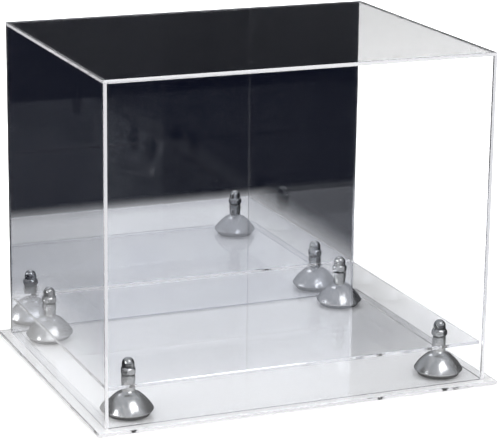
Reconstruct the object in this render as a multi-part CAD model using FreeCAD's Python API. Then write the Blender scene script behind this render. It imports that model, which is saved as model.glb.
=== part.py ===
import FreeCAD
import Part
import math
import os

# Clear acrylic display case for a full-size helmet, in millimetres.
#
# A five-panel cover lifts off a flat base plate. Its back wall is a mirror. A clear
# platform stands above the base on four bell-shaped risers, and a cap nut on each
# riser's stud clamps it down. +X runs along the case's length, -Y faces the viewer,
# +Z is up, and the origin is the centre of the base plate's underside.

# Acrylic sheets
SHEET = 3.0                 # thickness of every acrylic sheet
EDGE_BREAK = 0.35           # polished chamfer on free sheet edges

# Cover, outside
COVER_LENGTH = 362.0
COVER_DEPTH = 279.0
COVER_HEIGHT = 301.0

# Base plate
BASE_MARGIN = 9.0           # how far the base plate stands out past the cover, all round

# Platform
PLATFORM_GAP = 1.3          # space between the platform's edge and the cover's walls
STUD_HOLE_CLEARANCE = 0.4   # radial, platform hole round the stud

# Risers
RISER_INSET = 27.0          # from the platform's edges to each riser's axis
PAD_RADIUS = 18.8
PAD_THICKNESS = 2.4
PAD_EDGE_ROUND = 0.4
FOOT_HEIGHT = 30.6          # above the pad, neck included
FOOT_SEAT_RADIUS = 19.3     # where the foot meets its pad
FOOT_WIDEST_RADIUS = 22.2
FOOT_WIDEST_HEIGHT = 2.9    # above the pad
SHOULDER_RADIUS = 10.6
SHOULDER_HEIGHT = 16.2      # above the pad
FLANK_BULGE = 0.9           # how far the flank stands out from a straight cone
NECK_RADIUS = 6.0
NECK_START_HEIGHT = 19.2    # above the pad
NECK_CHAMFER = 0.5
FOOT_WALL = 3.0             # thickness of the hollow foot's flank
BOSS_RADIUS = 6.5           # solid core that takes the base screw

# Studs and screws, threads as plain cylinders at their outside diameter
STUD_RADIUS = 3.95
STUD_DEPTH = 9.0            # into the riser's neck
STUD_TIP_CHAMFER = 0.6
THREAD_CLEARANCE = 0.05     # radial, between a thread and its tapped hole
SCREW_RADIUS = 2.5
SCREW_REACH = 9.0           # above the underside of the riser's foot
SCREW_HEAD_RADIUS = 4.6
SCREW_HEAD_RECESS = 0.2     # head below the plate's underside
SCREW_HOLE_CLEARANCE = 0.3  # radial, in the base plate and the pad
SOCKET_ACROSS_FLATS = 3.0
SOCKET_DEPTH = 1.4
HOLE_END_GAP = 0.8          # between a thread's tip and the end of its blind hole

# Cap nuts
NUT_ACROSS_FLATS = 12.7
NUT_HEX_HEIGHT = 6.2
NUT_CHAMFER_ANGLE = 50.0    # of the hexagon's corners, from level
NUT_CHAMFER_START = 5.9     # radius at which the corner chamfers begin
NUT_SEAT_GAP = 0.02         # between a hand-tight nut's face and the platform
DOME_RADIUS = 5.5
DOME_SHAFT = 3.4            # straight part between the hexagon and the dome
THREAD_IN_NUT = 8.4         # how far the stud reaches up into the nut
NUT_RUNNING_CLEARANCE = 0.06  # radial, nut's bore round the stud
# Where each hand-tight nut stops, in degrees about its stud from a corner on the X axis
NUT_STOPS = {"front_left": 10.5, "front_right": 32.0, "rear_left": 24.0, "rear_right": 47.0}

# Derived levels and sizes
BASE_TOP = SHEET
BASE_LENGTH = COVER_LENGTH + 2 * BASE_MARGIN
BASE_DEPTH = COVER_DEPTH + 2 * BASE_MARGIN
INNER_LENGTH = COVER_LENGTH - 2 * SHEET
INNER_DEPTH = COVER_DEPTH - 2 * SHEET
WALL_HEIGHT = COVER_HEIGHT - SHEET
WALL_TOP = BASE_TOP + WALL_HEIGHT
PLATFORM_LENGTH = INNER_LENGTH - 2 * PLATFORM_GAP
PLATFORM_DEPTH = INNER_DEPTH - 2 * PLATFORM_GAP
PAD_TOP = BASE_TOP + PAD_THICKNESS
PLATFORM_BOTTOM = PAD_TOP + FOOT_HEIGHT
PLATFORM_TOP = PLATFORM_BOTTOM + SHEET
NUT_BOTTOM = PLATFORM_TOP + NUT_SEAT_GAP
STUD_BOTTOM = PLATFORM_BOTTOM - STUD_DEPTH
STUD_TOP = NUT_BOTTOM + THREAD_IN_NUT
SCREW_TOP = PAD_TOP + SCREW_REACH
UP = FreeCAD.Vector(0, 0, 1)


def save(shape, node):
    """Write one sub-part to its own file, after checking that it is a closed solid."""
    if not shape.isValid() or shape.Volume <= 0:
        raise ValueError(node + " is not a valid solid")
    shape.exportStep("parts/" + node + ".step")


def block(length, depth, height, x, y, z):
    """A sharp-edged box centred on x and y that starts at height z."""
    corner = FreeCAD.Vector(x - length / 2, y - depth / 2, z)
    return Part.makeBox(length, depth, height, corner)


def sheet(length, depth, height, x, y, z):
    """A box like block's, with all its edges broken."""
    body = block(length, depth, height, x, y, z)
    return body.makeChamfer(EDGE_BREAK, body.Edges)


def revolved(outline, closing=()):
    """Turn a closed outline of (radius, height) points and edges about the Z axis."""
    edges = list(closing)
    for start, end in zip(outline, outline[1:]):
        edges.append(Part.LineSegment(at(start), at(end)).toShape())
    wire = Part.Wire(Part.__sortEdges__(edges))
    return Part.Face(wire).revolve(FreeCAD.Vector(), UP, 360)


def at(point):
    """The 3-D point of a (radius, height) pair in the XZ plane."""
    return FreeCAD.Vector(point[0], 0, point[1])


def arc(start, middle, end):
    """An arc edge in the XZ plane through three (radius, height) pairs."""
    return Part.Arc(at(start), at(middle), at(end)).toShape()


def bulged(start, end, bulge):
    """An arc edge between two (radius, height) pairs that stands out by bulge."""
    run = end[0] - start[0]
    rise = end[1] - start[1]
    length = math.hypot(run, rise)
    middle = (
        (start[0] + end[0]) / 2 + bulge * rise / length,
        (start[1] + end[1]) / 2 - bulge * run / length,
    )
    return arc(start, middle, end)


def cylinder(radius, bottom, top, x=0.0, y=0.0):
    """An upright cylinder between two heights."""
    return Part.makeCylinder(radius, top - bottom, FreeCAD.Vector(x, y, bottom))


def hexagon(across_flats, bottom, top):
    """An upright hexagonal prism with two corners on the X axis."""
    radius = across_flats / math.sqrt(3)
    points = []
    for index in range(7):
        angle = math.radians(60 * index)
        points.append(FreeCAD.Vector(radius * math.cos(angle), radius * math.sin(angle), bottom))
    return Part.Face(Part.makePolygon(points)).extrude(UP * (top - bottom))


def countersink(clearance):
    """The flat-headed screw's head cone, or with a clearance, the recess that takes it."""
    face = SCREW_HEAD_RECESS
    radius = SCREW_HEAD_RADIUS + clearance
    depth = SCREW_HEAD_RADIUS - SCREW_RADIUS
    return revolved([
        (0, face), (radius, face), (radius - depth, face + depth), (0, face + depth), (0, face),
    ])


def riser_places():
    """Each riser's name and the place of its axis."""
    reach_x = PLATFORM_LENGTH / 2 - RISER_INSET
    reach_y = PLATFORM_DEPTH / 2 - RISER_INSET
    for row, y in (("front", -reach_y), ("rear", reach_y)):
        for side, x in (("left", -reach_x), ("right", reach_x)):
            yield row + "_" + side, FreeCAD.Vector(x, y, 0)


def base_plate():
    """The flat base, with a countersunk hole for each riser's screw."""
    plate = sheet(BASE_LENGTH, BASE_DEPTH, SHEET, 0, 0, 0)
    for _, place in riser_places():
        recess = countersink(SCREW_HOLE_CLEARANCE)
        mouth = cylinder(SCREW_HEAD_RADIUS + SCREW_HOLE_CLEARANCE, -1, SCREW_HEAD_RECESS)
        hole = cylinder(SCREW_RADIUS + SCREW_HOLE_CLEARANCE, -1, SHEET + 1)
        cutter = hole.fuse([recess, mouth])
        cutter.translate(place)
        plate = plate.cut(cutter)
    return plate


def display_platform():
    """The raised shelf, with a hole for each riser's stud."""
    plate = sheet(PLATFORM_LENGTH, PLATFORM_DEPTH, SHEET, 0, 0, PLATFORM_BOTTOM)
    radius = STUD_RADIUS + STUD_HOLE_CLEARANCE
    for _, place in riser_places():
        plate = plate.cut(cylinder(radius, PLATFORM_BOTTOM - 1, PLATFORM_TOP + 1, place.x, place.y))
    return plate


def cover_panels():
    """The cover's five panels: the top lies on the walls, and the sides run full depth.

    The panels are cemented edge to face, so only the cover's outside corners are broken.
    """
    envelope = sheet(COVER_LENGTH, COVER_DEPTH, COVER_HEIGHT, 0, 0, BASE_TOP)
    side_x = (COVER_LENGTH - SHEET) / 2
    wall_y = (COVER_DEPTH - SHEET) / 2
    panels = {
        "left_side_panel": block(SHEET, COVER_DEPTH, WALL_HEIGHT, -side_x, 0, BASE_TOP),
        "right_side_panel": block(SHEET, COVER_DEPTH, WALL_HEIGHT, side_x, 0, BASE_TOP),
        "front_panel": block(INNER_LENGTH, SHEET, WALL_HEIGHT, 0, -wall_y, BASE_TOP),
        "mirror_panel": block(INNER_LENGTH, SHEET, WALL_HEIGHT, 0, wall_y, BASE_TOP),
        "top_panel": block(COVER_LENGTH, COVER_DEPTH, SHEET, 0, 0, WALL_TOP),
    }
    return {node: panel.common(envelope) for node, panel in panels.items()}


def riser_pad():
    """The rubber disc between the base plate and the foot."""
    pad = cylinder(PAD_RADIUS, BASE_TOP, PAD_TOP)
    rims = [edge for edge in pad.Edges if edge.Length > PAD_RADIUS * 3]
    pad = pad.makeFillet(PAD_EDGE_ROUND, rims)
    return pad.cut(cylinder(SCREW_RADIUS + SCREW_HOLE_CLEARANCE, BASE_TOP - 1, PAD_TOP + 1))


def riser_foot():
    """The bell-shaped foot and its neck, hollow under the flank round a solid core."""
    seat = (FOOT_SEAT_RADIUS, PAD_TOP)
    widest = (FOOT_WIDEST_RADIUS, PAD_TOP + FOOT_WIDEST_HEIGHT)
    shoulder = (SHOULDER_RADIUS, PAD_TOP + SHOULDER_HEIGHT)
    neck_start = (NECK_RADIUS, PAD_TOP + NECK_START_HEIGHT)
    neck_top = (NECK_RADIUS, PLATFORM_BOTTOM - NECK_CHAMFER)
    outer = [
        bulged(seat, widest, FLANK_BULGE / 2),
        bulged(widest, shoulder, FLANK_BULGE),
        bulged(shoulder, neck_start, -FLANK_BULGE / 2),
    ]
    straight = [
        neck_start, neck_top, (NECK_RADIUS - NECK_CHAMFER, PLATFORM_BOTTOM),
        (0, PLATFORM_BOTTOM), (0, PAD_TOP), seat,
    ]
    foot = revolved(straight, outer)
    foot = foot.cut(foot_hollow())
    foot = foot.cut(cylinder(STUD_RADIUS + THREAD_CLEARANCE, STUD_BOTTOM - HOLE_END_GAP, PLATFORM_BOTTOM + 1))
    return foot.cut(cylinder(SCREW_RADIUS + THREAD_CLEARANCE, PAD_TOP - 1, SCREW_TOP + HOLE_END_GAP))


def foot_hollow():
    """The ring-shaped space inside the foot, between its core and its flank."""
    slope_run = FOOT_WIDEST_RADIUS - SHOULDER_RADIUS
    slope_rise = SHOULDER_HEIGHT - FOOT_WIDEST_HEIGHT
    inset = FOOT_WALL * math.hypot(slope_run, slope_rise) / slope_rise
    outer_radius = FOOT_SEAT_RADIUS - FOOT_WALL
    knee_height = FOOT_WIDEST_HEIGHT + (FOOT_WIDEST_RADIUS - inset - outer_radius) * slope_rise / slope_run
    peak_height = FOOT_WIDEST_HEIGHT + (FOOT_WIDEST_RADIUS - inset - BOSS_RADIUS) * slope_rise / slope_run
    return revolved([
        (BOSS_RADIUS, PAD_TOP - 1), (outer_radius, PAD_TOP - 1), (outer_radius, PAD_TOP + knee_height),
        (BOSS_RADIUS, PAD_TOP + peak_height), (BOSS_RADIUS, PAD_TOP - 1),
    ])


def base_screw():
    """The countersunk screw that holds a riser to the base plate from below."""
    shank_bottom = SCREW_HEAD_RECESS + SCREW_HEAD_RADIUS - SCREW_RADIUS
    shank = cylinder(SCREW_RADIUS, shank_bottom, SCREW_TOP)
    tip = [edge for edge in shank.Edges if edge.BoundBox.ZMin > SCREW_TOP - 0.1]
    shank = shank.makeChamfer(STUD_TIP_CHAMFER, tip)
    screw = shank.fuse(countersink(0)).removeSplitter()
    return screw.cut(hexagon(SOCKET_ACROSS_FLATS, 0, SCREW_HEAD_RECESS + SOCKET_DEPTH))


def riser_stud():
    """The threaded stud that stands in the neck and passes through the platform."""
    stud = cylinder(STUD_RADIUS, STUD_BOTTOM, STUD_TOP)
    rims = [edge for edge in stud.Edges if edge.Length > STUD_RADIUS * 6]
    return stud.makeChamfer(STUD_TIP_CHAMFER, rims)


def cap_nut():
    """The acorn nut: a hexagon with chamfered corners under a domed cap, bored from below."""
    hex_top = NUT_BOTTOM + NUT_HEX_HEIGHT
    corner = NUT_ACROSS_FLATS / math.sqrt(3)
    drop = (corner - NUT_CHAMFER_START) * math.tan(math.radians(NUT_CHAMFER_ANGLE))
    envelope = revolved([
        (0, NUT_BOTTOM), (NUT_CHAMFER_START, NUT_BOTTOM), (corner, NUT_BOTTOM + drop),
        (corner, hex_top - drop), (NUT_CHAMFER_START, hex_top), (0, hex_top), (0, NUT_BOTTOM),
    ])
    body = hexagon(NUT_ACROSS_FLATS, NUT_BOTTOM, hex_top).common(envelope)
    dome_start = hex_top + DOME_SHAFT
    middle = DOME_RADIUS * math.sqrt(0.5)
    crown = arc((DOME_RADIUS, dome_start), (middle, dome_start + middle), (0, dome_start + DOME_RADIUS))
    base_of_cap = hex_top - 1
    cap = revolved([(0, dome_start + DOME_RADIUS), (0, base_of_cap), (DOME_RADIUS, base_of_cap),
                    (DOME_RADIUS, dome_start)], [crown])
    bore = cylinder(STUD_RADIUS + NUT_RUNNING_CLEARANCE, NUT_BOTTOM - 1, STUD_TOP + HOLE_END_GAP)
    return body.fuse(cap).removeSplitter().cut(bore)


def main():
    """Build every sub-part and write it out."""
    os.makedirs("parts", exist_ok=True)
    save(base_plate(), "base_plate")
    save(display_platform(), "display_platform")
    for node, panel in cover_panels().items():
        save(panel, node)
    pieces = {
        "riser_foot": riser_foot(),
        "riser_pad": riser_pad(),
        "riser_stud": riser_stud(),
        "base_screw": base_screw(),
        "cap_nut": cap_nut(),
    }
    for name, place in riser_places():
        for piece, shape in pieces.items():
            copy = shape.copy()
            if piece == "cap_nut":
                copy.rotate(FreeCAD.Vector(), UP, NUT_STOPS[name])
            copy.translate(place)
            save(copy, piece + "_" + name)


main()
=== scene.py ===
"""A clear football display case: a mirror-backed cover, its base plate, and a platform on four risers."""

import logging
import math
from collections.abc import Callable, Iterable, Mapping, Sequence
from dataclasses import dataclass, field
from enum import Enum
from typing import Any

import bmesh
import bpy
from mathutils import Matrix, Vector


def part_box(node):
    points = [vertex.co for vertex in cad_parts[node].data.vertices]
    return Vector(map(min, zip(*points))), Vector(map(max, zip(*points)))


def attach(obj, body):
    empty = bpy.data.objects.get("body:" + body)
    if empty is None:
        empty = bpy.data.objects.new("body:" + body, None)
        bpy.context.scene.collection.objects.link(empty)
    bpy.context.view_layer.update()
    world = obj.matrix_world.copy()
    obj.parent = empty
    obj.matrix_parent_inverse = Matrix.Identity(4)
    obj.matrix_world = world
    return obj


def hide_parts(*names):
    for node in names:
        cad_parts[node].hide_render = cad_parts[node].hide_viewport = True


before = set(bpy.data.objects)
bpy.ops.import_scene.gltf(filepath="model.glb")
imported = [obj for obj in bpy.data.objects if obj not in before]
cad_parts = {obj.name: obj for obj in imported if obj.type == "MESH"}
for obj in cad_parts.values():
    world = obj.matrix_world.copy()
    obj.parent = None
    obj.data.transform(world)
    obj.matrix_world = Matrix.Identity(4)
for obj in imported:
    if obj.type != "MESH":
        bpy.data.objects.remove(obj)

LOG = logging.getLogger("display_case")
MM = 0.001
UV_SPAN = 0.1           # metres of a turned outline in one step of its UV map
TURNED_CREASE = 32.0    # degrees past which a turned piece's edge stays crisp
NUT_CREASE = 24.0       # the same on a cap nut
HAIR = 0.01 * MM        # the least gap, and how near a point is to a plane that it lies on
FACING = 0.9            # how squarely a face looks along an axis to count as facing it
CORE_DEPTH = 1.2        # how deep the core lies under a thread's crests, in ridges
ARC_BULGE = 0.29        # the bulge of a quarter round, in radii
AT_ALL = 0.5            # a light path's count above this is one or more
REFLECTED = 0.5         # reflections after which light counts as a reflection,
REFLECTED_AGAIN = 1.5   # as the reflection of one,
GUIDED = 4.5            # and as guided inside a sheet
Pair = tuple[float, float]
Triple = tuple[float, float, float]
Outline = list[Pair]


# ---- names

class Body(Enum):
    """The bodies that pieces ride on, apart from the four nuts."""

    BASE = "base"
    COVER = "cover"


class Place(Enum):
    """The four riser places, with the angle in degrees at which each one's nut stops."""

    FRONT_LEFT = 10.5
    FRONT_RIGHT = 32.0
    REAR_LEFT = 24.0
    REAR_RIGHT = 47.0

    @property
    def label(self) -> str:
        """The place's name as the nodes write it."""
        return self.name.lower()


class Slot(Enum):
    """The record's material slots."""

    CLEAR = "clear_acrylic"
    MIRROR = "acrylic_mirror"
    NICKEL = "satin_nickel"
    RUBBER = "black_rubber"
    STEEL = "plain_steel"
    BLACK = "black_steel"


# ---- node wiring

def pick(sockets: Any, key: int | str) -> bpy.types.NodeSocket:
    """Find a socket by its place, identifier or name.

    Args:
        sockets: A node's inputs or outputs.
        key: The socket's index, identifier or shown name.

    Returns:
        The socket.
    """
    if isinstance(key, int):
        return sockets[key]
    for socket in sockets:
        if socket.identifier == key:
            return socket
    return sockets[key]


class Signal:
    """A socket that ordinary arithmetic joins to Math nodes."""

    def __init__(self, wiring: "Wiring", socket: bpy.types.NodeSocket) -> None:
        """Wrap an output socket of a tree that is being wired."""
        self.wiring = wiring
        self.socket = socket

    def math(self, operation: str, *values: "Signal | float") -> "Signal":
        """Run a Math node on the values in their order."""
        inputs = dict(enumerate(values))
        return self.wiring.add("ShaderNodeMath", {"operation": operation}, inputs)

    def other(self, key: int | str) -> "Signal":
        """Take another output of the same node."""
        return Signal(self.wiring, pick(self.socket.node.outputs, key))

    def __add__(self, value: "Signal | float") -> "Signal":
        """Add."""
        return self.math("ADD", self, value)

    def __radd__(self, value: float) -> "Signal":
        """Add to a number."""
        return self.math("ADD", value, self)

    def __sub__(self, value: "Signal | float") -> "Signal":
        """Subtract."""
        return self.math("SUBTRACT", self, value)

    def __rsub__(self, value: float) -> "Signal":
        """Subtract from a number."""
        return self.math("SUBTRACT", value, self)

    def __mul__(self, value: "Signal | float") -> "Signal":
        """Multiply."""
        return self.math("MULTIPLY", self, value)

    def __truediv__(self, value: "Signal | float") -> "Signal":
        """Divide."""
        return self.math("DIVIDE", self, value)

    def __abs__(self) -> "Signal":
        """Drop the sign."""
        return self.math("ABSOLUTE", self)

    def over(self, value: "Signal | float") -> "Signal":
        """Give 1 where this is greater than the value, else 0."""
        return self.math("GREATER_THAN", self, value)

    def ramp(self, start: float, end: float) -> "Signal":
        """Rise smoothly from 0 at start to 1 at end."""
        return self.wiring.add(
            "ShaderNodeMapRange", {"interpolation_type": "SMOOTHSTEP"},
            {"Value": self, "From Min": start, "From Max": end},
        )


class Wiring:
    """A node tree that is being wired."""

    def __init__(self, tree: bpy.types.NodeTree) -> None:
        """Start from an empty tree."""
        self.tree = tree
        tree.nodes.clear()

    def add(
        self,
        kind: str,
        settings: Mapping[str, Any] | None = None,
        inputs: Mapping[int | str, Any] | None = None,
        output: int | str = 0,
    ) -> Signal:
        """Make one node.

        Args:
            kind: The node's type.
            settings: Its properties, set first.
            inputs: The value or signal of each socket that isn't left at its default.
            output: The output to return.

        Returns:
            The chosen output, or the first input of a node that has no outputs.
        """
        node = self.tree.nodes.new(kind)
        for name, value in (settings or {}).items():
            setattr(node, name, value)
        for key, value in (inputs or {}).items():
            socket = pick(node.inputs, key)
            if isinstance(value, Signal):
                self.tree.links.new(value.socket, socket)
            else:
                socket.default_value = value
        found = node.outputs if len(node.outputs) else node.inputs
        return Signal(self, pick(found, output))

    def noise(self, vector: Signal, scale: float, detail: float = 2.0) -> Signal:
        """Make a noise value from 0 to 1."""
        inputs = {"Vector": vector, "Scale": scale, "Detail": detail}
        return self.add("ShaderNodeTexNoise", None, inputs, "Fac")

    def stretched(self, vector: Signal, scale: Sequence[float]) -> Signal:
        """Scale a coordinate by a different amount along each axis."""
        return self.add("ShaderNodeMapping", None, {"Vector": vector, "Scale": scale})

    def blend(self, factor: Signal, first: Sequence[float], second: Sequence[float]) -> Signal:
        """Mix two colours."""
        inputs = {"Factor_Float": factor, "A_Color": (*first, 1.0), "B_Color": (*second, 1.0)}
        return self.add("ShaderNodeMix", {"data_type": "RGBA"}, inputs, "Result_Color")

    def bump(self, height: Signal, strength: float, distance: float) -> Signal:
        """Turn a height into a normal."""
        inputs = {"Height": height, "Strength": strength, "Distance": distance}
        return self.add("ShaderNodeBump", None, inputs, "Normal")

    def where(self, key: str = "Object") -> Signal:
        """Give the piece's own coordinates: Object, or UV on turned pieces."""
        return self.add("ShaderNodeTexCoord", None, None, key)


# ---- finishes

@dataclass(frozen=True)
class Finish:
    """A surface finish; each kind says how its shader is wired."""

    name: str

    def wire(self, wiring: Wiring) -> Signal:
        """Wire the shader and return its output."""
        raise NotImplementedError

    def material(self) -> bpy.types.Material:
        """Give this finish's material, made once."""
        made = bpy.data.materials.get(self.name)
        if made is None:
            made = bpy.data.materials.new(self.name)
            made.use_nodes = True
            wiring = Wiring(made.node_tree)
            wiring.add("ShaderNodeOutputMaterial", None, {"Surface": self.wire(wiring)})
        return made


@dataclass(frozen=True)
class ClearAcrylic(Finish):
    """Polished cast acrylic with faint wipe marks and hairlines."""

    tint: Triple = (0.985, 0.987, 0.992)
    worn_tint: Triple = (0.968, 0.972, 0.982)
    ior: float = 1.49
    haze: float = 0.004
    hairline_depth: float = 0.000002

    def clear(self, wiring: Wiring, colour: Signal, roughness: Signal, normal: Signal) -> Signal:
        """Give the clear shader with this colour, roughness and normal."""
        return wiring.add("ShaderNodeBsdfPrincipled", None, {
            "Base Color": colour, "Roughness": roughness, "IOR": self.ior,
            "Transmission Weight": 1.0, "Normal": normal,
        })

    def wire(self, wiring: Wiring) -> Signal:
        """Wire a clear shader whose wipe marks vary its gloss."""
        here = wiring.where()
        wipes = wiring.noise(wiring.stretched(here, (9.0, 9.0, 3.5)), 1.0, 4.0).ramp(0.45, 0.75)
        lines = wiring.noise(wiring.stretched(here, (900.0, 900.0, 24.0)), 1.0, 1.0).ramp(0.62, 0.72)
        colour = wiring.blend(wipes, self.tint, self.worn_tint)
        return self.clear(wiring, colour, wipes * self.haze,
                          wiring.bump(lines * wipes, 0.15, self.hairline_depth))


@dataclass(frozen=True)
class SawnEdge(ClearAcrylic):
    """The sheets' sawn and scraped edges, which glow white beside their clear faces."""

    frost: float = 0.05
    polished: float = 0.01
    saw_depth: float = 0.00004

    def marks(self, wiring: Wiring, here: Signal) -> Signal:
        """Give the fine marks of the saw."""
        return wiring.noise(wiring.stretched(here, (420.0, 420.0, 420.0)), 1.0, 2.0)

    def sawn(self, marks: Signal) -> Signal:
        """Give the roughness that the marks leave."""
        return self.polished + marks * (self.frost - self.polished) * 2.0

    def wire(self, wiring: Wiring) -> Signal:
        """Wire a frosted shader with saw marks across the edge."""
        marks = self.marks(wiring, wiring.where())
        colour = wiring.blend(marks.ramp(0.3, 0.7), self.tint, self.worn_tint)
        return self.clear(wiring, colour, self.sawn(marks), wiring.bump(marks, 0.4, self.saw_depth))


@dataclass(frozen=True)
class FlatSheet(SawnEdge):
    """A level sheet in one finish: clear above and below, frosted wherever its surface stands upright."""

    def wire(self, wiring: Wiring) -> Signal:
        """Wire a clear shader that turns frosted on the sheet's edges."""
        here = wiring.where()
        level = abs(wiring.add("ShaderNodeSeparateXYZ", None, {
            "Vector": wiring.add("ShaderNodeNewGeometry", None, None, "True Normal"),
        }, "Z")).ramp(0.2, 0.6)
        edge = 1 - level
        wipes = wiring.noise(wiring.stretched(here, (7.0, 11.0, 7.0)), 1.0, 4.0).ramp(0.45, 0.75)
        marks = self.marks(wiring, here)
        colour = wiring.blend(wipes, self.tint, self.worn_tint)
        roughness = edge * self.sawn(marks) + wipes * self.haze
        return self.clear(wiring, colour, roughness, wiring.bump(marks * edge, 0.4, self.saw_depth))


@dataclass(frozen=True)
class Silvering(Finish):
    """The mirror's metal coat, seen through the sheet in front of it."""

    colour: Triple = (0.90, 0.91, 0.93)
    thin_colour: Triple = (0.84, 0.85, 0.88)

    def wire(self, wiring: Wiring) -> Signal:
        """Wire a metal that is a little uneven."""
        patches = wiring.noise(wiring.where(), 14.0, 3.0).ramp(0.35, 0.8)
        return wiring.add("ShaderNodeBsdfPrincipled", None, {
            "Base Color": wiring.blend(patches, self.colour, self.thin_colour),
            "Metallic": 1.0,
            "Roughness": patches * 0.012,
        })


@dataclass(frozen=True)
class BackingPaint(Finish):
    """The grey paint that protects the mirror's coat."""

    colour: Triple = (0.262, 0.27, 0.288)
    thin_colour: Triple = (0.288, 0.297, 0.316)

    def wire(self, wiring: Wiring) -> Signal:
        """Wire a sprayed paint with roller streaks and a fine peel."""
        here = wiring.where()
        streaks = wiring.noise(wiring.stretched(here, (8.0, 8.0, 90.0)), 1.0, 3.0)
        peel = wiring.noise(here, 900.0, 2.0)
        return wiring.add("ShaderNodeBsdfPrincipled", None, {
            "Base Color": wiring.blend(streaks.ramp(0.3, 0.7), self.colour, self.thin_colour),
            "Roughness": 0.42 + streaks * 0.18,
            "Normal": wiring.bump(peel, 0.35, 0.00008),
        })


@dataclass(frozen=True)
class TurnedMetal(Finish):
    """Metal finished on a lathe, with fine rings along the piece's own outline."""

    colour: Triple = (0.50, 0.505, 0.505)
    dark: Triple = (0.41, 0.415, 0.42)
    roughness: float = 0.12
    spread: float = 0.12
    rim: Triple = (0.12, 0.12, 0.13)
    ring_depth: float = 0.00002

    def wire(self, wiring: Wiring) -> Signal:
        """Wire rings from the UV map, which runs round the piece and along its outline."""
        unrolled = wiring.where("UV")
        rings = wiring.noise(wiring.stretched(unrolled, (3.0, 260.0, 1.0)), 1.0, 3.0)
        clouds = wiring.noise(wiring.where(), 210.0, 3.0)
        return wiring.add("ShaderNodeBsdfPrincipled", None, {
            "Base Color": wiring.blend(clouds.ramp(0.3, 0.75), self.colour, self.dark),
            "Metallic": 1.0,
            "Specular Tint": (*self.rim, 1.0),
            "Roughness": self.roughness + rings * self.spread,
            "Normal": wiring.bump(rings, 0.25, self.ring_depth),
        })


@dataclass(frozen=True)
class MouldedRubber(Finish):
    """Matt black rubber with a fine moulded grain."""

    colour: Triple = (0.004, 0.004, 0.0045)
    dusty: Triple = (0.011, 0.011, 0.012)
    sheen: float = 0.12

    def wire(self, wiring: Wiring) -> Signal:
        """Wire the grain and a little dust."""
        here = wiring.where()
        grain = wiring.noise(here, 2600.0, 2.0)
        dust = wiring.noise(here, 240.0, 4.0).ramp(0.5, 0.8)
        return wiring.add("ShaderNodeBsdfPrincipled", None, {
            "Base Color": wiring.blend(dust, self.colour, self.dusty),
            "Specular IOR Level": self.sheen,
            "Roughness": 0.55 + dust * 0.3,
            "Normal": wiring.bump(grain, 0.5, 0.00005),
        })


@dataclass(frozen=True)
class Finishes:
    """Every finish of the case."""

    acrylic: ClearAcrylic = ClearAcrylic("polished_clear_acrylic")
    edge: SawnEdge = SawnEdge("scraped_acrylic_edge")
    sheet: FlatSheet = FlatSheet("flat_acrylic_sheet")
    cement: ClearAcrylic = ClearAcrylic("set_cement", haze=0.08, worn_tint=(0.93, 0.935, 0.95))
    silvering: Silvering = Silvering("mirror_silvering")
    paint: BackingPaint = BackingPaint("grey_backing_paint")
    nickel: TurnedMetal = TurnedMetal("satin_nickel_plate")
    steel: TurnedMetal = TurnedMetal(
        "rolled_thread_steel", (0.52, 0.51, 0.50), (0.38, 0.37, 0.36), roughness=0.24, spread=0.12)
    black: TurnedMetal = TurnedMetal(
        "blackened_steel", (0.05, 0.05, 0.055), (0.02, 0.02, 0.022), roughness=0.32, spread=0.14)
    rubber: MouldedRubber = MouldedRubber("moulded_black_rubber")


# ---- meshes

def turned(name: str, outline: Sequence[tuple[float | Callable[[float], float], float]],
           centre: Vector, segments: int = 96) -> bpy.types.Mesh:
    """Turn an outline about an upright axis, closed at both ends on that axis.

    Args:
        name: The mesh's name.
        outline: (radius, height) pairs in metres; a radius may be a function of the angle, and the
            first and last lie on the axis.
        centre: A point of the axis.
        segments: How many steps make a full turn.

    Returns:
        A closed mesh with a UV map that runs round the piece and along its outline.
    """
    bm = bmesh.new()
    rings: list[list[bmesh.types.BMVert]] = []
    lengths = [0.0]
    flat = [(r(0.0) if callable(r) else r, z) for r, z in outline]
    for before, after in zip(flat, flat[1:]):
        lengths.append(lengths[-1] + math.dist(before, after) / UV_SPAN)
    for index, (radius, height) in enumerate(outline):
        if index in (0, len(outline) - 1):
            rings.append([bm.verts.new((centre.x, centre.y, height))] * segments)
            continue
        ring = []
        for step in range(segments):
            angle = math.tau * step / segments
            reach = radius(angle) if callable(radius) else radius
            place = (centre.x + reach * math.cos(angle), centre.y + reach * math.sin(angle), height)
            ring.append(bm.verts.new(place))
        rings.append(ring)
    layer = bm.loops.layers.uv.new("unrolled")
    for low in range(len(rings) - 1):
        for step in range(segments):
            after = (step + 1) % segments
            corners = [
                (rings[low][step], step, low), (rings[low][after], step + 1, low),
                (rings[low + 1][after], step + 1, low + 1), (rings[low + 1][step], step, low + 1),
            ]
            kept = [c for n, c in enumerate(corners) if c[0] not in [d[0] for d in corners[:n]]]
            face = bm.faces.new([c[0] for c in kept])
            face.smooth = True
            for loop, (_, turn, ring_index) in zip(face.loops, kept):
                loop[layer].uv = (turn / segments, lengths[ring_index])
    bmesh.ops.recalc_face_normals(bm, faces=bm.faces)
    return baked(bm, name, TURNED_CREASE)


def baked(bm: bmesh.types.BMesh, name: str, sharp: float | None = None) -> bpy.types.Mesh:
    """Turn a bmesh into a mesh and free it.

    Args:
        bm: The finished bmesh.
        name: The mesh's name.
        sharp: The angle in degrees past which an edge stays crisp, or None to leave shading alone.

    Returns:
        The mesh.
    """
    mesh = bpy.data.meshes.new(name)
    bm.to_mesh(mesh)
    bm.free()
    if sharp is not None:
        mesh.set_sharp_from_angle(angle=math.radians(sharp))
    return mesh


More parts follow.
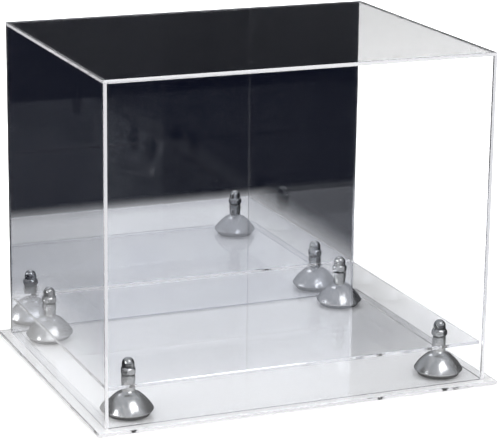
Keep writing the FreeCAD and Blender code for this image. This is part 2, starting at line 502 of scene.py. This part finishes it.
def bow(start: Pair, end: Pair, rise: float, steps: int) -> Outline:
    """Points of an arc from start, excluded, to end, included, that stands out by rise."""
    chord = math.dist(start, end)
    run, climb = end[0] - start[0], end[1] - start[1]
    points = []
    for step in range(1, steps + 1):
        along = step / steps
        out = 4 * rise * along * (1 - along)
        side = start[0] + run * along + out * climb / chord
        points.append((side, start[1] + climb * along - out * run / chord))
    return points


def box_mesh(name: str, low: Vector, high: Vector, broken: Callable[[Vector], int],
             radius: float) -> bpy.types.Mesh:
    """Make a box whose outside edges are rounded over.

    Args:
        name: The mesh's name.
        low: Its lowest corner.
        high: Its highest corner.
        broken: Says how many of a case's outside faces an edge's middle lies on; two or more round it.
        radius: The rounding's size.

    Returns:
        A closed mesh.
    """
    bm = bmesh.new()
    middle, size = (low + high) / 2, high - low
    bmesh.ops.create_cube(bm, size=1.0, matrix=Matrix.Translation(middle) @ Matrix.Diagonal((*size, 1.0)))
    edges = [e for e in bm.edges if broken((e.verts[0].co + e.verts[1].co) / 2) >= 2]
    made = bmesh.ops.bevel(bm, geom=edges, offset=radius, segments=3, profile=0.5, affect="EDGES")
    for face in made["faces"]:
        face.smooth = True
    bmesh.ops.recalc_face_normals(bm, faces=bm.faces)
    thin = min(range(3), key=lambda axis: size[axis])
    for face in bm.faces:
        face.material_index = 0 if face.smooth or abs(face.normal[thin]) > FACING else 1
    return baked(bm, name)


def placed(name: str, mesh: bpy.types.Mesh, materials: Iterable[bpy.types.Material]) -> bpy.types.Object:
    """Put a mesh in the scene with its materials."""
    piece = bpy.data.objects.new(name, mesh)
    bpy.context.scene.collection.objects.link(piece)
    for material in materials:
        mesh.materials.append(material)
    return piece


def settled(piece: bpy.types.Object) -> bpy.types.Object:
    """Replace a piece's mesh by its evaluated one, and drop its modifiers."""
    evaluated = piece.evaluated_get(bpy.context.evaluated_depsgraph_get())
    mesh = bpy.data.meshes.new_from_object(evaluated)
    mesh.name = piece.name
    piece.modifiers.clear()
    piece.data = mesh
    return piece


def join_case(piece: bpy.types.Object, body: str, slot: Slot, *nodes: str) -> None:
    """Say what a finished piece rides on and the nodes that it stands for."""
    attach(piece, body)
    if nodes:
        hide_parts(*nodes)
    LOG.info("%s: %d faces on %s", piece.name, len(piece.data.polygons), body)


# ---- geometry node tools

class Tool:
    """A Geometry Nodes tree with named inputs."""

    def __init__(self, name: str, inputs: Mapping[str, tuple[str, Any]]) -> None:
        """Make the tree and its sockets.

        Args:
            name: The tree's name.
            inputs: Each input's socket type and default, by name.
        """
        self.tree = bpy.data.node_groups.new(name, "GeometryNodeTree")
        self.wiring = Wiring(self.tree)
        face = self.tree.interface
        face.new_socket(name="Geometry", in_out="INPUT", socket_type="NodeSocketGeometry")
        face.new_socket(name="Geometry", in_out="OUTPUT", socket_type="NodeSocketGeometry")
        self.keys: dict[str, str] = {}
        for label, (kind, default) in inputs.items():
            socket = face.new_socket(name=label, in_out="INPUT", socket_type=kind)
            if default is not None:
                socket.default_value = default
            self.keys[label] = socket.identifier
        self.entry = self.wiring.add("NodeGroupInput")

    def value(self, label: str) -> Signal:
        """The signal of a named input."""
        return self.entry.other(label)

    def close(self, *parts: Signal) -> None:
        """End the tree: join the parts, realize instances and set the material."""
        joined = self.wiring.add("GeometryNodeJoinGeometry")
        for part in parts:
            self.tree.links.new(part.socket, joined.socket.node.inputs[0])
        solid = self.wiring.add("GeometryNodeRealizeInstances", None, {"Geometry": joined})
        dressed = self.wiring.add(
            "GeometryNodeSetMaterial", None, {"Geometry": solid, "Material": self.value("Material")})
        self.wiring.add("NodeGroupOutput", None, {"Geometry": dressed})

    def run(self, piece: bpy.types.Object, values: Mapping[str, Any]) -> bpy.types.Object:
        """Apply the tree to a piece with these inputs, and bake it."""
        modifier = piece.modifiers.new(self.tree.name, "NODES")
        modifier.node_group = self.tree
        for label, value in values.items():
            modifier[self.keys[label]] = value
        return settled(piece)


class ThreadTool(Tool):
    """Wraps a helical thread round the core that it is given."""

    def __init__(self) -> None:
        """Wire the tree: a spiral swept with a three-sided ridge, joined to the core."""
        super().__init__("wrap_thread", {
            "Radius": ("NodeSocketFloat", 0.004),
            "Ridge": ("NodeSocketFloat", 0.0006),
            "Pitch": ("NodeSocketFloat", 0.00125),
            "Length": ("NodeSocketFloat", 0.02),
            "Start": ("NodeSocketVector", (0.0, 0.0, 0.0)),
            "Material": ("NodeSocketMaterial", None),
        })
        add = self.wiring.add
        reach = self.value("Radius") - self.value("Ridge")
        spiral = add("GeometryNodeCurveSpiral", None, {
            "Resolution": 28, "Rotations": self.value("Length") / self.value("Pitch"),
            "Start Radius": reach, "End Radius": reach, "Height": self.value("Length"),
        })
        ridge = add("GeometryNodeCurvePrimitiveCircle", None, {
            "Resolution": 4, "Radius": self.value("Ridge") * 0.98,
        })
        thread = add("GeometryNodeCurveToMesh", None, {
            "Curve": spiral, "Profile Curve": ridge, "Fill Caps": True,
        })
        smooth = add("GeometryNodeSetShadeSmooth", None, {"Geometry": thread})
        moved = add("GeometryNodeTransform", None, {"Geometry": smooth, "Translation": self.value("Start")})
        self.close(moved, self.value("Geometry"))


class SeamTool(Tool):
    """Runs a bead of set cement along the edges it is given, with small bubbles in it."""

    def __init__(self) -> None:
        """Wire the tree: an uneven bead, and bubbles scattered along it."""
        super().__init__("run_cement", {
            "Bead": ("NodeSocketFloat", 0.0004),
            "Step": ("NodeSocketFloat", 0.004),
            "Bubble": ("NodeSocketFloat", 0.0003),
            "Spacing": ("NodeSocketFloat", 0.009),
            "Seed": ("NodeSocketInt", 7),
            "Material": ("NodeSocketMaterial", None),
        })
        add = self.wiring.add
        place = add("GeometryNodeInputPosition")
        wander = self.wiring.noise(place, 60.0, 2.0)
        line = add("GeometryNodeMeshToCurve", None, {"Mesh": self.value("Geometry")})
        by_length = {"mode": "LENGTH"}
        even = add("GeometryNodeResampleCurve", by_length, {"Curve": line, "Length": self.value("Step")})
        shaped = add("GeometryNodeSetCurveRadius", None, {"Curve": even, "Radius": 0.65 + wander * 0.7})
        ring = add("GeometryNodeCurvePrimitiveCircle", None, {"Resolution": 6, "Radius": self.value("Bead")})
        bead = add("GeometryNodeCurveToMesh", None, {
            "Curve": shaped, "Profile Curve": ring, "Fill Caps": True,
        })
        smooth = add("GeometryNodeSetShadeSmooth", None, {"Geometry": bead})
        spots = add("GeometryNodeCurveToPoints", by_length, {"Curve": line, "Length": self.value("Spacing")})
        stray = 1.2 * MM
        jitter = add("FunctionNodeRandomValue", {"data_type": "FLOAT_VECTOR"}, {
            "Min": (-stray, -stray, -stray), "Max": (stray, stray, stray), "Seed": self.value("Seed"),
        })
        spread = add("GeometryNodeSetPosition", None, {"Geometry": spots, "Offset": jitter})
        ball = add("GeometryNodeMeshIcoSphere", None, {"Radius": self.value("Bubble"), "Subdivisions": 1})
        size = add("FunctionNodeRandomValue", {"data_type": "FLOAT"}, {
            2: 0.3, 3: 1.0, "Seed": self.value("Seed") + 1,
        }, 1)
        balls = add("GeometryNodeInstanceOnPoints", None, {"Points": spread, "Instance": ball, "Scale": size})
        self.close(smooth, balls)


# ---- the case

@dataclass
class Cover:
    """The lift-off cover: four walls and a top, cemented edge to face, with a mirror as the back wall."""

    finishes: Finishes
    seam: float = 0.04 * MM
    bead: float = 0.35 * MM
    bubble: float = 0.2 * MM
    rounding: float = 0.35 * MM
    seat: float = 0.03 * MM
    paint: float = 0.2 * MM
    near: float = 0.06 * MM
    low: Vector = field(default_factory=Vector)
    high: Vector = field(default_factory=Vector)

    def build(self) -> None:
        """Make the five panels and the cement in their corners."""
        lows, highs = zip(*(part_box(node) for node in self.nodes()))
        self.low = Vector(map(min, *lows))
        self.high = Vector(map(max, *highs))
        for node in self.nodes():
            if node != "mirror_panel":
                self.clear_panel(node)
        self.mirror()
        self.cement()

    @staticmethod
    def nodes() -> tuple[str, ...]:
        """The cover's nodes."""
        return ("left_side_panel", "right_side_panel", "front_panel", "mirror_panel", "top_panel")

    def outside(self, point: Vector) -> int:
        """Count the cover's outside planes that a point lies on."""
        planes = zip(point, self.low, self.high)
        return sum(min(abs(value - low), abs(value - high)) < self.near for value, low, high in planes)

    def trimmed(self, node: str) -> tuple[Vector, Vector]:
        """A panel's box, drawn back by the seam at each cemented face and off the base plate."""
        low, high = (Vector(corner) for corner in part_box(node))
        if node != "top_panel":
            high.z -= self.seam
            low.z += self.seat
        if node in ("front_panel", "mirror_panel"):
            low.x += self.seam
            high.x -= self.seam
        return low, high

    def clear_panel(self, node: str) -> None:
        """Make one clear panel."""
        low, high = self.trimmed(node)
        mesh = box_mesh(node.replace("panel", "sheet"), low, high, self.outside, self.rounding)
        piece = placed(mesh.name, mesh, [self.finishes.acrylic.material(), self.finishes.edge.material()])
        join_case(piece, Body.COVER.value, Slot.CLEAR, node)

    def mirror(self) -> None:
        """Make the mirror: a clear sheet, the metal coat on its back, and the paint over that."""
        low, high = self.trimmed("mirror_panel")
        coat = high.y - self.paint
        bm = bmesh.new()
        front = box_mesh("front", low, Vector((high.x, coat, high.z)), self.outside, self.rounding)
        paint_low = Vector((low.x, coat + HAIR, low.z))
        back = box_mesh("back", paint_low, high, self.outside, self.paint / 3)
        bm.from_mesh(front)
        for face in bm.faces:
            silvered = face.normal.y > FACING and face.calc_center_median().y > coat - HAIR
            face.material_index = 2 if silvered else face.material_index
        known = set(bm.faces)
        bm.from_mesh(back)
        for face in bm.faces:
            if face not in known:
                face.material_index = 3
        for spare in (front, back):
            bpy.data.meshes.remove(spare)
        mesh = baked(bm, "mirror_sheet")
        coats = (self.finishes.acrylic, self.finishes.edge, self.finishes.silvering, self.finishes.paint)
        piece = placed(mesh.name, mesh, [coat.material() for coat in coats])
        join_case(piece, Body.COVER.value, Slot.MIRROR, "mirror_panel")

    def cement(self) -> None:
        """Run cement along the inside corners of the eight seams."""
        bm = bmesh.new()
        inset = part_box("front_panel")[1].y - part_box("front_panel")[0].y
        back = inset + self.bead
        low = self.low + Vector((back, back, self.bead * 2))
        high = self.high - Vector((back, back, back))
        corners = [(low.x, low.y), (high.x, low.y), (high.x, high.y), (low.x, high.y)]
        for (x, y), (next_x, next_y) in zip(corners, corners[1:] + corners[:1]):
            for start, end in (((x, y, low.z), (x, y, high.z)), ((x, y, high.z), (next_x, next_y, high.z))):
                bm.edges.new([bm.verts.new(start), bm.verts.new(end)])
        piece = placed("cement_seams", baked(bm, "cement_seams"), [])
        SeamTool().run(piece, {
            "Bead": self.bead, "Bubble": self.bubble, "Seed": 11, "Material": self.finishes.cement.material(),
        })
        join_case(piece, Body.COVER.value, Slot.CLEAR)


@dataclass
class Riser:
    """One riser: its pad, foot, base screw, stud and cap nut.

    Sizes are in metres. A rise starts at the foot's underside.
    """

    finishes: Finishes
    place: Place
    thread: ThreadTool
    pad_edge: float = 0.4 * MM
    pad_bore: float = 2.8 * MM
    pad_seat: float = 0.02 * MM
    grooves: Pair = (0.55, 0.78)
    groove_width: float = 0.5 * MM
    groove_depth: float = 0.15 * MM
    foot_seat: float = 19.3 * MM
    foot_widest: float = 22.2 * MM
    widest_rise: float = 2.9 * MM
    shoulder: float = 10.6 * MM
    shoulder_rise: float = 16.2 * MM
    flank_bulge: float = 0.9 * MM
    neck: float = 6.0 * MM
    neck_rise: float = 19.2 * MM
    neck_chamfer: float = 0.5 * MM
    neck_band: float = 1.0 * MM
    wall: float = 3.0 * MM
    core: float = 6.5 * MM
    foot_soft: float = 0.3 * MM
    stud_bore: float = 4.0 * MM
    screw_bore: float = 2.55 * MM
    hole_end: float = 0.8 * MM
    screw_radius: float = 2.5 * MM
    screw_ridge: float = 0.35 * MM
    screw_pitch: float = 0.8 * MM
    screw_soft: float = 0.1 * MM
    screw_tip: float = 0.6 * MM
    screw_taper: float = 0.5 * MM
    screw_bare: float = 0.9 * MM
    socket_flats: float = 3.0 * MM
    socket_depth: float = 1.4 * MM
    stud_ridge: float = 0.5 * MM
    stud_pitch: float = 1.25 * MM
    stud_chamfer: float = 0.6 * MM
    nut_flats: float = 12.7 * MM
    nut_hex: float = 6.2 * MM
    nut_chamfer: float = 5.9 * MM
    nut_slope: float = math.radians(50)
    nut_bore: float = 4.01 * MM
    nut_soft: float = 0.1 * MM
    nut_fillet: float = 0.35 * MM
    dome: float = 5.5 * MM
    dome_shaft: float = 3.4 * MM
    axis: Vector = field(default_factory=Vector)

    def box(self, kind: str) -> tuple[Vector, Vector]:
        """The box of one of this riser's nodes."""
        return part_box(f"{kind}_{self.place.label}")

    def build(self) -> None:
        """Make the riser's five pieces."""
        low, high = self.box("riser_pad")
        self.axis = (low + high) / 2
        self.pad()
        self.foot()
        self.screw()
        self.stud()
        self.nut()

    def finish(self, mesh: bpy.types.Mesh, look: Any, kind: str, slot: Slot,
               body: str = Body.BASE.value, thread: Mapping[str, Any] | None = None) -> None:
        """Dress one of the riser's pieces, wrap its thread if it has one, and join it to the case."""
        piece = placed(mesh.name, mesh, [look.material()])
        if thread:
            self.thread.run(piece, {**thread, "Material": look.material()})
        join_case(piece, body, slot, f"{kind}_{self.place.label}")

    def pad(self) -> None:
        """Make the rubber pad, with a rounded rim and two shallow grip grooves."""
        low, high = self.box("riser_pad")
        radius, bore = (high.x - low.x) / 2, self.pad_bore
        base, top = low.z + self.pad_seat, high.z - HAIR
        rim: Outline = [(bore, top)]
        for reach in self.grooves:
            ring = bore + (radius - bore) * reach
            middle = (ring + self.groove_width / 2, top - self.groove_depth)
            rim += [(ring, top), middle, (ring + self.groove_width, top)]
        edge = self.pad_edge
        quarter = [math.pi / 2 * step / 4 for step in range(5)]
        rim += [(radius - edge + edge * math.sin(a), top - edge + edge * math.cos(a)) for a in quarter]
        rim += [(radius - edge + edge * math.cos(a), base + edge - edge * math.sin(a)) for a in quarter]
        rim.append((bore, base))
        outline = [(0.0, top), *rim, (0.0, base)]
        mesh = turned(f"rubber_pad_{self.place.label}", outline, self.axis, 72)
        self.finish(mesh, self.finishes.rubber, "riser_pad", Slot.RUBBER)

    def foot(self) -> None:
        """Make the bell-shaped foot with its neck, hollow under the flank."""
        floor, top = self.box("riser_pad")[1].z, self.box("riser_foot")[1].z
        stud_end = self.box("riser_stud")[0].z - self.hole_end
        widest = (self.foot_widest, floor + self.widest_rise)
        shoulder = (self.shoulder, floor + self.shoulder_rise)
        collar = (self.neck, floor + self.neck_rise)
        soft = self.foot_soft
        outline: Outline = [
            (0.0, stud_end),
            (self.stud_bore, stud_end),
            (self.stud_bore, top),
            (self.neck - self.neck_chamfer, top),
            (self.neck, top - self.neck_chamfer),
            (self.neck, collar[1] + self.neck_band),
        ]
        outline += bow(outline[-1], collar, 0.0, 2)
        outline += bow(collar, shoulder, self.flank_bulge / 2, 8)
        outline += bow(shoulder, widest, -self.flank_bulge, 16)
        outline += bow(widest, (self.foot_seat + soft, floor + soft), -self.flank_bulge / 2, 8)
        rise = self.shoulder_rise - self.widest_rise
        run = self.foot_widest - self.shoulder
        inset = self.wall * math.hypot(run, rise) / rise
        inner = self.foot_seat - self.wall
        knee = self.widest_rise + (self.foot_widest - inset - inner) * rise / run
        peak = self.widest_rise + (self.foot_widest - inset - self.core) * rise / run
        screw_top = self.box("base_screw")[1].z + self.hole_end
        outline += [
            (self.foot_seat, floor), (inner, floor), (inner, floor + knee), (self.core, floor + peak),
            (self.core, floor), (self.screw_bore, floor), (self.screw_bore, screw_top), (0.0, screw_top),
        ]
        mesh = turned(f"bell_foot_{self.place.label}", outline, self.axis)
        self.finish(mesh, self.finishes.nickel, "riser_foot", Slot.NICKEL)

    @staticmethod
    def hexagon(flats: float, soft: float = 0.0) -> Callable[[float], float]:
        """Give a hexagon's reach at an angle, with its corners drawn in by soft."""
        def reach(angle: float) -> float:
            """How far the hexagon reaches at this angle."""
            turn = (angle % (math.pi / 3)) - math.pi / 6
            return min(flats / 2 / math.cos(turn), flats / math.sqrt(3) - soft)
        return reach

    def screw(self) -> None:
        """Make the countersunk screw with its hexagon socket and its thread."""
        low, high = self.box("base_screw")
        head, ridge, soft = (high.x - low.x) / 2, self.screw_ridge, self.screw_soft
        socket, socket_top = self.hexagon(self.socket_flats), low.z + self.socket_depth
        core = self.screw_radius - ridge * CORE_DEPTH
        outline = [
            (0.0, socket_top), (socket, socket_top), (socket, low.z + soft),
            (lambda angle: socket(angle) + soft * 1.2, low.z),
            (head - soft, low.z), (head, low.z + soft), (core, low.z + head - core),
            (core, high.z - self.screw_tip), (core - self.screw_taper, high.z), (0.0, high.z),
        ]
        mesh = turned(f"base_screw_thread_{self.place.label}", outline, self.axis, 48)
        bottom = low.z + head - core + ridge * 2
        self.finish(mesh, self.finishes.black, "base_screw", Slot.BLACK, thread={
            "Radius": self.screw_radius, "Ridge": ridge, "Pitch": self.screw_pitch,
            "Length": high.z - self.screw_bare - bottom,
            "Start": (self.axis.x, self.axis.y, bottom),
        })

    def stud(self) -> None:
        """Make the threaded stud that holds the platform."""
        low, high = self.box("riser_stud")
        radius, ridge, chamfer = (high.x - low.x) / 2, self.stud_ridge, self.stud_chamfer
        core = radius - ridge * CORE_DEPTH
        outline: Outline = [
            (0.0, high.z), (core - chamfer, high.z), (core, high.z - chamfer),
            (core, low.z + chamfer), (core - chamfer, low.z), (0.0, low.z),
        ]
        mesh = turned(f"threaded_stud_{self.place.label}", outline, self.axis, 48)
        self.finish(mesh, self.finishes.steel, "riser_stud", Slot.STEEL, thread={
            "Radius": radius, "Ridge": ridge, "Pitch": self.stud_pitch,
            "Length": high.z - low.z - 2 * chamfer,
            "Start": (self.axis.x, self.axis.y, low.z + chamfer),
        })

    def nut(self) -> None:
        """Make the acorn nut: a chamfered hexagon under a domed cap, bored from below."""
        base = self.box("cap_nut")[0].z
        bore_top = self.box("riser_stud")[1].z + self.hole_end
        hexagon = self.hexagon(self.nut_flats, self.nut_soft)
        slope = math.tan(self.nut_slope)

        def drop(angle: float) -> float:
            """How far the corner chamfer comes down at this angle."""
            return (hexagon(angle) - self.nut_chamfer) * slope

        fillet, top = self.nut_fillet, base + self.nut_hex
        dome_start = top + self.dome_shaft
        cap: Outline = [(self.dome + fillet, top)]
        cap += bow(cap[-1], (self.dome, top + fillet), -fillet * ARC_BULGE, 4)
        quarter = [math.pi / 2 * step / 20 for step in range(20)]
        cap += [(self.dome * math.cos(a), dome_start + self.dome * math.sin(a)) for a in quarter]
        name = f"acorn_nut_{self.place.label}"
        mesh = self.hex_turned(name, base, bore_top, hexagon, drop, cap, dome_start + self.dome)
        stop = math.radians(self.place.value)
        there = Matrix.Translation((self.axis.x, self.axis.y, 0.0))
        mesh.transform(there @ Matrix.Rotation(stop, 4, "Z") @ there.inverted())
        self.finish(mesh, self.finishes.nickel, "cap_nut", Slot.NICKEL, f"nut_{self.place.label}")

    def hex_turned(self, name: str, base: float, bore_top: float, reach: Callable[[float], float],
                   drop: Callable[[float], float], cap: Outline, peak: float) -> bpy.types.Mesh:
        """Make the nut's mesh ring by ring, with the hexagon's chamfers cut at each angle.

        Args:
            name: The mesh's name.
            base: The nut's underside.
            bore_top: The hole's end.
            reach: The hexagon's reach at an angle.
            drop: The chamfer's depth at an angle.
            cap: The domed cap's outline.
            peak: The dome's highest point.

        Returns:
            A closed mesh.
        """
        top = base + self.nut_hex
        bore, flat = self.nut_bore, self.nut_chamfer
        outline = [(0.0, bore_top), (bore, bore_top), (bore, base), (flat, base), (reach, base),
                   (reach, top), (flat, top), *cap, (0.0, peak)]
        mesh = turned(name, outline, self.axis)
        for vertex in mesh.vertices:
            out = Vector((vertex.co.x - self.axis.x, vertex.co.y - self.axis.y))
            if out.length < flat + HAIR:
                continue
            depth = drop(math.atan2(out.y, out.x))
            if abs(vertex.co.z - base) < HAIR:
                vertex.co.z = base + depth
            elif abs(vertex.co.z - top) < HAIR:
                vertex.co.z = top - depth
        mesh.set_sharp_from_angle(angle=math.radians(NUT_CREASE))
        return mesh


@dataclass
class Sheets:
    """The two flat sheets of the base body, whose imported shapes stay."""

    finishes: Finishes

    def build(self) -> None:
        """Dress the base plate and the platform."""
        for node in ("base_plate", "display_platform"):
            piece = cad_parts[node]
            piece.material_slots[0].material = self.finishes.sheet.material()
            LOG.info("%s: packed shape, dressed", node)


# ---- studio

@dataclass
class Studio:
    """A pale floor, a bright soft sky, soft boxes and the camera.

    Sizes and places are in metres, aim is the camera's yaw, pitch and roll in degrees, and lens is in mm.
    """

    floor_colour: Triple = (0.9, 0.9, 0.9)
    sky: float = 0.85
    pale: float = 2.2
    # painted light: far_glow is the strength of the floor's glow outside the case's footprint; it rises over
    # shade past the footprint, and over seen_through on sight lines through the sheets, so the floor under
    # the case looks shaded
    far_glow: float = 1.4
    room_glow: float = 0.72
    footprint: Pair = (0.19, 0.15)
    shade: float = 0.05
    seen_through: Pair = (0.12, 0.42)
    # painted reflection: beyond table, over spread, the floor shows the dark colour in reflections, and
    # ghost_shade of it after two reflections
    table: Pair = (0.235, 0.265)
    spread: float = 0.05
    ghost_shade: float = 0.85
    # painted light: edge_glow is the colour that the floor gives light guided inside a sheet, which whitens
    # the sheets' edges
    edge_glow: Triple = (0.80, 0.80, 0.83)
    edge_glow_above: Triple = (0.93, 0.93, 0.95)
    # painted reflection: the colour of the floor's dark emission seen in reflections
    dark: Triple = (0.004, 0.005, 0.011)
    room_tint: Triple = (0.93, 0.95, 1.0)
    room_low: float = 0.012
    front_glow: Pair = (0.05, 0.55)
    high_glow: Pair = (0.4, 0.8)
    floor_radius: float = 40.0
    floor_gap: float = 0.3 * MM
    eye: Triple = (-0.74416, -1.79820, 0.66978)
    aim: Triple = (22.687, 15.390, 0.717)
    lens: float = 158.57

    def build(self) -> None:
        """Make the floor, the sky, the soft boxes and the camera."""
        self.floor()
        self.sky_light()
        self.soft_box("soft_box_front", place=(0.35, -1.25, 1.9), size=(1.3, 0.9), power=14.0)
        self.soft_box("soft_box_left", place=(-1.9, -0.3, 1.1), size=(0.6, 0.6), power=6.0)
        self.soft_box("strip_box_left", place=(-1.5, -0.7, 0.5), size=(0.16, 0.9), power=3.0)
        self.camera()
        scene = bpy.context.scene
        scene.view_settings.view_transform = "Standard"
        scene.cycles.max_bounces = 96
        scene.cycles.transmission_bounces = 32
        scene.cycles.glossy_bounces = 72
        scene.cycles.diffuse_bounces = 3
        scene.cycles.blur_glossy = 0.0

    def reflected(self, wiring: Wiring, times: float) -> Signal:
        """Give 1 on a sight line past this many reflections, and 0 on light bound for a matt surface."""
        glossy = wiring.add("ShaderNodeLightPath", None, None, "Glossy Depth")
        return glossy.over(times) * (1 - glossy.other("Diffuse Depth").over(AT_ALL))

    @staticmethod
    def outward(apart: Signal, x_span: Pair, y_span: Pair) -> Signal:
        """Rise from 0 to 1 over a span of distance from the middle, whichever axis is further along."""
        x_rise = abs(apart).ramp(*x_span)
        y_rise = abs(apart.other("Y")).ramp(*y_span)
        return x_rise.math("MAXIMUM", x_rise, y_rise)

    def floor(self) -> None:
        """Make a wide floor that glows with painted light outside the case's footprint, shows a painted dark
        reflection in its far part, as an unlit room would, and glows with painted light for light guided
        inside a sheet.
        """
        material = bpy.data.materials.new("pale_floor")
        material.use_nodes = True
        wiring = Wiring(material.node_tree)
        apart = wiring.add("ShaderNodeSeparateXYZ", None, {"Vector": wiring.where()})
        far = self.outward(apart, *((edge - self.spread, edge + self.spread) for edge in self.table))
        pale = wiring.add("ShaderNodeBsdfDiffuse", None, {"Color": (*self.floor_colour, 1.0)})
        through = wiring.add("ShaderNodeLightPath", None, None, "Transmission Depth").over(AT_ALL)
        # painted light: the floor glows outside the case's footprint and on far sight lines through the
        # sheets, but not in reflections, so the floor under the case looks shaded
        clear = self.outward(apart, *((edge, edge + self.shade) for edge in self.footprint))
        painted_glow_mask = clear * (1 - through) + self.outward(apart, self.seen_through, self.seen_through) * through
        glow = wiring.add("ShaderNodeEmission", None,
                          {"Strength": painted_glow_mask * (1 - self.reflected(wiring, REFLECTED)) * self.far_glow})
        bright = wiring.add("ShaderNodeAddShader", None, {0: pale, 1: glow})
        # painted reflection: a dark emission stands in for an unlit room in reflections of the far floor, and
        # darkens twice-reflected light by ghost_shade
        room = wiring.add("ShaderNodeEmission", None, {"Color": (*self.dark, 1.0), "Strength": 1.0})
        once = far * self.reflected(wiring, REFLECTED)
        painted_dark_reflection = once.math("MAXIMUM", once, self.reflected(wiring, REFLECTED_AGAIN) * self.ghost_shade)
        mixed = wiring.add("ShaderNodeMixShader", None, {0: painted_dark_reflection, 1: bright, 2: room})
        # painted light: light guided inside a sheet sees this pale emission instead of the floor, which
        # whitens the sheets' edges
        guided = wiring.add("ShaderNodeEmission", None, {"Color": (*self.edge_glow, 1.0)})
        past = self.reflected(wiring, GUIDED)
        whole = wiring.add("ShaderNodeMixShader", None, {0: past, 1: mixed, 2: guided})
        wiring.add("ShaderNodeOutputMaterial", None, {"Surface": whole})
        bm = bmesh.new()
        bmesh.ops.create_circle(bm, cap_ends=True, segments=96, radius=self.floor_radius,
                                matrix=Matrix.Translation((0.0, 0.0, -self.floor_gap)))
        placed("floor", baked(bm, "floor"), [material])

    def sky_light(self) -> None:
        """Make a sky that is even to the eye and the floor, and dark low down in reflections."""
        world = bpy.data.worlds.new("soft_sky")
        bpy.context.scene.world = world
        world.use_nodes = True
        wiring = Wiring(world.node_tree)
        lit_path = wiring.add("ShaderNodeLightPath", None, None, "Diffuse Depth").over(AT_ALL)
        way = wiring.add("ShaderNodeSeparateXYZ", None, {"Vector": wiring.where()})
        white = (1.0, 1.0, 1.0, 1.0)
        seen = wiring.add("ShaderNodeBackground", None, {"Color": white, "Strength": self.pale})
        lit = wiring.add("ShaderNodeBackground", None, {"Color": white, "Strength": self.sky})
        front = (0.0 - way.other("Y")).ramp(*self.front_glow)
        brightest = front.math("MAXIMUM", way.other("Z").ramp(*self.high_glow), front)
        glow = brightest * self.room_glow + self.room_low
        room = wiring.add("ShaderNodeBackground", None, {"Color": (*self.room_tint, 1.0), "Strength": glow})
        guided = wiring.add("ShaderNodeBackground", None, {"Color": (*self.edge_glow_above, 1.0)})
        once = self.reflected(wiring, REFLECTED)
        direct = wiring.add("ShaderNodeMixShader", None, {0: once, 1: seen, 2: room})
        past = self.reflected(wiring, GUIDED)
        edges = wiring.add("ShaderNodeMixShader", None, {0: past, 1: direct, 2: guided})
        mixed = wiring.add("ShaderNodeMixShader", None, {0: lit_path, 1: edges, 2: lit})
        wiring.add("ShaderNodeOutputWorld", None, {"Surface": mixed})

    def soft_box(self, name: str, place: Sequence[float], size: Sequence[float], power: float) -> None:
        """Make a rectangular area light aimed at the case."""
        light = bpy.data.lights.new(name, "AREA")
        light.shape = "RECTANGLE"
        light.size, light.size_y = size
        light.energy = power
        box = bpy.data.objects.new(name, light)
        bpy.context.scene.collection.objects.link(box)
        box.location = place
        aim = Vector((0.0, 0.0, 0.05)) - box.location
        box.rotation_euler = aim.to_track_quat("-Z", "Y").to_euler()
        box.visible_camera = False

    def camera(self) -> None:
        """Make the camera."""
        lens = bpy.data.cameras.new("camera")
        lens.lens = self.lens
        lens.sensor_width = 36.0
        lens.clip_end = 100.0
        eye = bpy.data.objects.new("camera", lens)
        bpy.context.scene.collection.objects.link(eye)
        yaw, pitch, roll = (math.radians(angle) for angle in self.aim)
        ahead = Vector((math.sin(yaw) * math.cos(pitch), math.cos(yaw) * math.cos(pitch), -math.sin(pitch)))
        level = Vector((math.cos(yaw), -math.sin(yaw), 0.0))
        up = level.cross(ahead)
        right = math.cos(roll) * level + math.sin(roll) * up
        above = -math.sin(roll) * level + math.cos(roll) * up
        turn = Matrix((right, above, -ahead)).transposed()
        eye.matrix_world = Matrix.Translation(self.eye) @ turn.to_4x4()
        bpy.context.scene.camera = eye


def main() -> None:
    """Build the case and its studio."""
    logging.basicConfig(level=logging.INFO, format="%(name)s: %(message)s")
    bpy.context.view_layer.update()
    Studio().build()
    finishes = Finishes()
    Sheets(finishes).build()
    Cover(finishes).build()
    thread = ThreadTool()
    for place in Place:
        Riser(finishes, place, thread).build()


if __name__ == "__main__":
    main()
